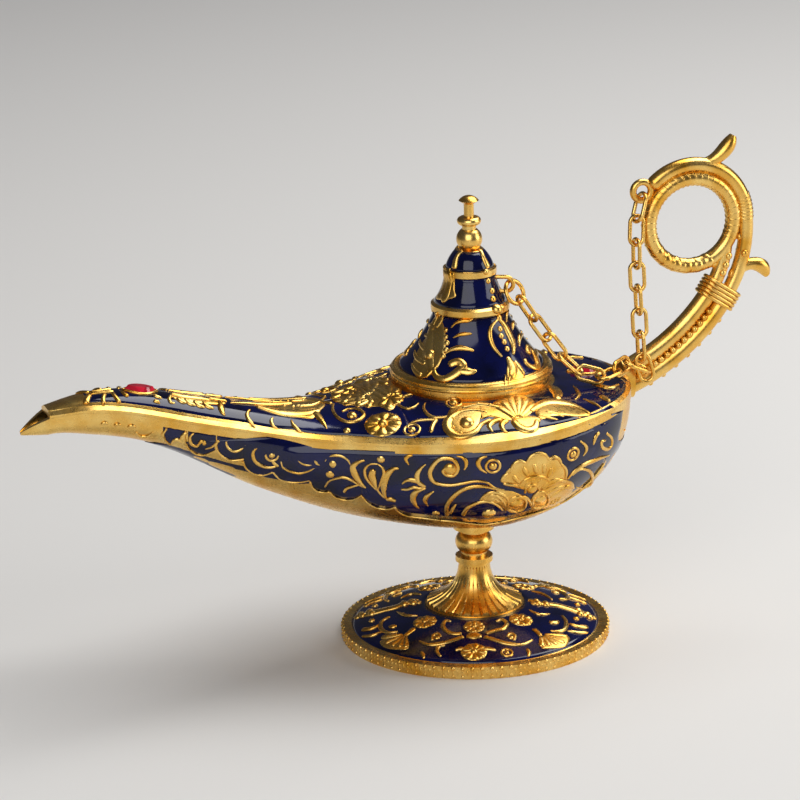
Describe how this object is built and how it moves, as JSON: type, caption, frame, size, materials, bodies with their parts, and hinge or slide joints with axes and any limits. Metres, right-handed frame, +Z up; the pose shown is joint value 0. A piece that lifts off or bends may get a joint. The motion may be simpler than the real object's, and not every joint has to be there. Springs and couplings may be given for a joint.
{
  "type": "genie oil lamp",
  "caption": "Boat-shaped oil lamp with a long pouring spout, lift-off pagoda lid on a chain, scrolled finger-ring handle and a round footed base.",
  "frame": {"origin": "middle of the base's underside, on the table", "axes": "+X from the spout to the handle, +Y away from the chain's side, +Z up"},
  "size_m": [0.2032, 0.0734, 0.1281],
  "materials": {
    "gold_plate": "polished gold plate",
    "blue_enamel": "glossy cobalt enamel on gold plate",
    "red_stone": "faceted red stone"
  },
  "bodies": {
    "lamp": {"base_plate": "blue_enamel", "stem_bell": "gold_plate", "stem_knop": "gold_plate", "stem_rod": "gold_plate", "bowl": "blue_enamel", "deck": "blue_enamel", "spout_gem": "red_stone", "rear_gem": "red_stone", "handle": "gold_plate", "handle_screw": "gold_plate"},
    "lid": {"lid": "blue_enamel", "lid_finial": "gold_plate", "lid_eye": "gold_plate"},
    "handle_ring": {"handle_ring": "gold_plate"},
    "chain_link_01": {"chain_link_01": "gold_plate"},
    "chain_link_02": {"chain_link_02": "gold_plate"},
    "chain_link_03": {"chain_link_03": "gold_plate"},
    "chain_link_04": {"chain_link_04": "gold_plate"},
    "chain_link_05": {"chain_link_05": "gold_plate"},
    "chain_link_06": {"chain_link_06": "gold_plate"},
    "chain_link_07": {"chain_link_07": "gold_plate"},
    "chain_link_08": {"chain_link_08": "gold_plate"},
    "chain_link_09": {"chain_link_09": "gold_plate"},
    "chain_link_10": {"chain_link_10": "gold_plate"},
    "chain_link_11": {"chain_link_11": "gold_plate"},
    "chain_link_12": {"chain_link_12": "gold_plate"},
    "chain_link_13": {"chain_link_13": "gold_plate"},
    "chain_link_14": {"chain_link_14": "gold_plate"},
    "chain_link_15": {"chain_link_15": "gold_plate"},
    "lid_ring": {"lid_ring": "gold_plate"}
  },
  "joints": [
    {"name": "lid_lift", "type": "slide", "parent": "lamp", "child": "lid", "axis": [0, 0, 1], "range_m": [0, 0.007]},
    {"name": "handle_ring_hinge", "type": "hinge", "parent": "lamp", "child": "handle_ring", "pos_m": [0.0475, 0, 0.11375], "axis": [0, 1, 0], "range_deg": [0, 11.5]},
    {"name": "chain_link_01_hinge", "type": "hinge", "parent": "handle_ring", "child": "chain_link_01", "pos_m": [0.04544, -0.00166, 0.10836], "axis": [0, 1, 0], "range_deg": [-3, 0]},
    {"name": "chain_link_02_hinge", "type": "hinge", "parent": "chain_link_01", "child": "chain_link_02", "pos_m": [0.04486, -0.00262, 0.10237], "axis": [0, 1, 0], "range_deg": [-3.5, 0]},
    {"name": "chain_link_03_hinge", "type": "hinge", "parent": "chain_link_02", "child": "chain_link_03", "pos_m": [0.04473, -0.00317, 0.09629], "axis": [0, 1, 0], "range_deg": [-4, 0]},
    {"name": "chain_link_04_hinge", "type": "hinge", "parent": "chain_link_03", "child": "chain_link_04", "pos_m": [0.0448, -0.00368, 0.09022], "axis": [0, 1, 0], "range_deg": [-4.5, 0]},
    {"name": "chain_link_05_hinge", "type": "hinge", "parent": "chain_link_04", "child": "chain_link_05", "pos_m": [0.0449, -0.00428, 0.08414], "axis": [0, 1, 0], "range_deg": [-4.5, 0]},
    {"name": "chain_link_06_hinge", "type": "hinge", "parent": "chain_link_05", "child": "chain_link_06", "pos_m": [0.045, -0.00487, 0.07808], "axis": [0, 1, 0], "range_deg": [-3.5, 0]},
    {"name": "chain_link_07_hinge", "type": "hinge", "parent": "chain_link_06", "child": "chain_link_07", "pos_m": [0.04512, -0.00537, 0.072], "axis": [0, 1, 0], "range_deg": [0, 7]},
    {"name": "chain_link_08_hinge", "type": "hinge", "parent": "chain_link_09", "child": "chain_link_08", "pos_m": [0.04063, -0.00679, 0.07133], "axis": [0, 1, 0], "range_deg": [-13.5, 0]},
    {"name": "chain_link_09_hinge", "type": "hinge", "parent": "chain_link_10", "child": "chain_link_09", "pos_m": [0.03594, -0.01068, 0.07092], "axis": [0, 1, 0], "range_deg": [0, 3]},
    {"name": "chain_link_10_hinge", "type": "hinge", "parent": "chain_link_11", "child": "chain_link_10", "pos_m": [0.03068, -0.01373, 0.07051], "axis": [0, 1, 0], "range_deg": [0, 4]},
    {"name": "chain_link_11_hinge", "type": "hinge", "parent": "chain_link_12", "child": "chain_link_11", "pos_m": [0.02494, -0.01307, 0.07249], "axis": [0, 1, 0], "range_deg": [0, 8.5]},
    {"name": "chain_link_12_hinge", "type": "hinge", "parent": "chain_link_13", "child": "chain_link_12", "pos_m": [0.02113, -0.01048, 0.07648], "axis": [0, 1, 0], "range_deg": [0, 2]},
    {"name": "chain_link_13_hinge", "type": "hinge", "parent": "chain_link_14", "child": "chain_link_13", "pos_m": [0.01805, -0.00819, 0.08123], "axis": [0, 1, 0], "range_deg": [0, 2]},
    {"name": "chain_link_14_hinge", "type": "hinge", "parent": "chain_link_15", "child": "chain_link_14", "pos_m": [0.01501, -0.00624, 0.08614], "axis": [0, 1, 0], "range_deg": [0, 2]},
    {"name": "chain_link_15_hinge", "type": "hinge", "parent": "lid_ring", "child": "chain_link_15", "pos_m": [0.01202, -0.00467, 0.09122], "axis": [0, 1, 0], "range_deg": [0, 2]},
    {"name": "lid_ring_hinge", "type": "hinge", "parent": "lid", "child": "lid_ring", "pos_m": [0.00922, -0.0041, 0.09495], "axis": [0, 1, 0], "range_deg": [0, 2]}
  ],
  "couplings": [
    {"joint": "handle_ring_hinge", "follows": "lid_lift", "rad_per_m": 26.48},
    {"joint": "chain_link_01_hinge", "follows": "lid_lift", "rad_per_m": -5.3446},
    {"joint": "chain_link_02_hinge", "follows": "lid_lift", "rad_per_m": -6.6326},
    {"joint": "chain_link_03_hinge", "follows": "lid_lift", "rad_per_m": -8.1651},
    {"joint": "chain_link_04_hinge", "follows": "lid_lift", "rad_per_m": -9.034},
    {"joint": "chain_link_05_hinge", "follows": "lid_lift", "rad_per_m": -9.0383},
    {"joint": "chain_link_06_hinge", "follows": "lid_lift", "rad_per_m": -6.8524},
    {"joint": "chain_link_07_hinge", "follows": "lid_lift", "rad_per_m": 15.395},
    {"joint": "chain_link_08_hinge", "follows": "lid_lift", "rad_per_m": -31.935},
    {"joint": "chain_link_09_hinge", "follows": "lid_lift", "rad_per_m": 6.1803},
    {"joint": "chain_link_10_hinge", "follows": "lid_lift", "rad_per_m": 7.5586},
    {"joint": "chain_link_11_hinge", "follows": "lid_lift", "rad_per_m": 19.379},
    {"joint": "chain_link_12_hinge", "follows": "lid_lift", "rad_per_m": 2.992},
    {"joint": "chain_link_13_hinge", "follows": "lid_lift", "rad_per_m": 2.992},
    {"joint": "chain_link_14_hinge", "follows": "lid_lift", "rad_per_m": 2.992},
    {"joint": "chain_link_15_hinge", "follows": "lid_lift", "rad_per_m": 2.992},
    {"joint": "lid_ring_hinge", "follows": "lid_lift", "rad_per_m": 2.992}
  ]
}
